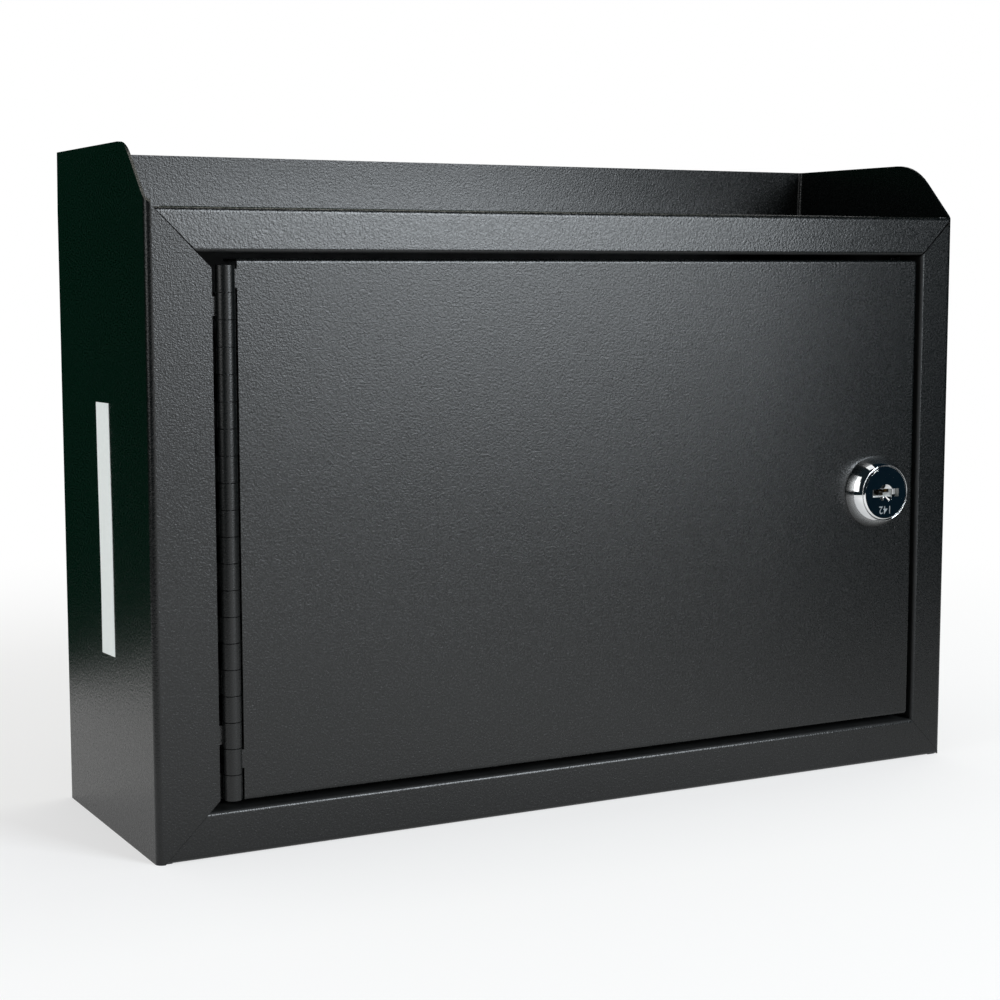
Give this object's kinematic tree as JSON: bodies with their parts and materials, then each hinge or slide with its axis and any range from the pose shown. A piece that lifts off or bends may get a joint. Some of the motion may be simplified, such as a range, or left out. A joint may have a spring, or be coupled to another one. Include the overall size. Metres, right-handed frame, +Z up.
{
  "type": "drop box",
  "caption": "Wall-mounted steel drop box with a slotted top between sloped sides and a hinged, locking front door.",
  "frame": {"origin": "centre of the carcass footprint on the surface it stands on", "axes": "+X to the right as seen from the front, +Y to the back, +Z up"},
  "size_m": [0.3541, 0.1157, 0.254],
  "materials": {
    "powder_coat": "fine textured black powder coat, semi-matt",
    "hinge_paint": "black gloss paint",
    "pin_steel": "drawn wire",
    "label_paper": "white self-adhesive paper",
    "lock_chrome": "polished",
    "zinc_plate": "bright zinc plate",
    "plug_zinc": "die-cast zinc, nickel plated",
    "spring_steel": "spring wire",
    "wafer_brass": "stamped"
  },
  "bodies": {
    "carcass": {"body_wrap": "powder_coat", "top_pan": "powder_coat", "bottom_pan": "powder_coat", "frame_hinge_leaf": "hinge_paint", "hinge_pin": "pin_steel", "side_label": "label_paper"},
    "door": {"door_panel": "powder_coat", "door_hinge_leaf": "hinge_paint", "lock_housing": "lock_chrome", "lock_spur_washer": "zinc_plate", "lock_nut": "zinc_plate"},
    "key_plug": {"plug_cap": "lock_chrome", "lock_plug": "plug_zinc", "cam_stop_washer": "zinc_plate", "lock_cam": "zinc_plate", "cam_tooth_washer": "zinc_plate", "cam_nut": "zinc_plate", "wafer_springs": "spring_steel"},
    "wafers": {"lock_wafers": "wafer_brass"}
  },
  "joints": [
    {"name": "door_hinge", "type": "hinge", "parent": "carcass", "child": "door", "pos_m": [-0.1487, -0.05455, 0.1159], "axis": [0, 0, -1], "range_deg": [0, 175]},
    {"name": "key_turn", "type": "hinge", "parent": "door", "child": "key_plug", "pos_m": [0.138, -0.05, 0.1168], "axis": [0, -1, 0], "range_deg": [0, 90]},
    {"name": "wafer_slide", "type": "slide", "parent": "key_plug", "child": "wafers", "axis": [1, 0, 0], "range_m": [0, 0.0008]}
  ]
}
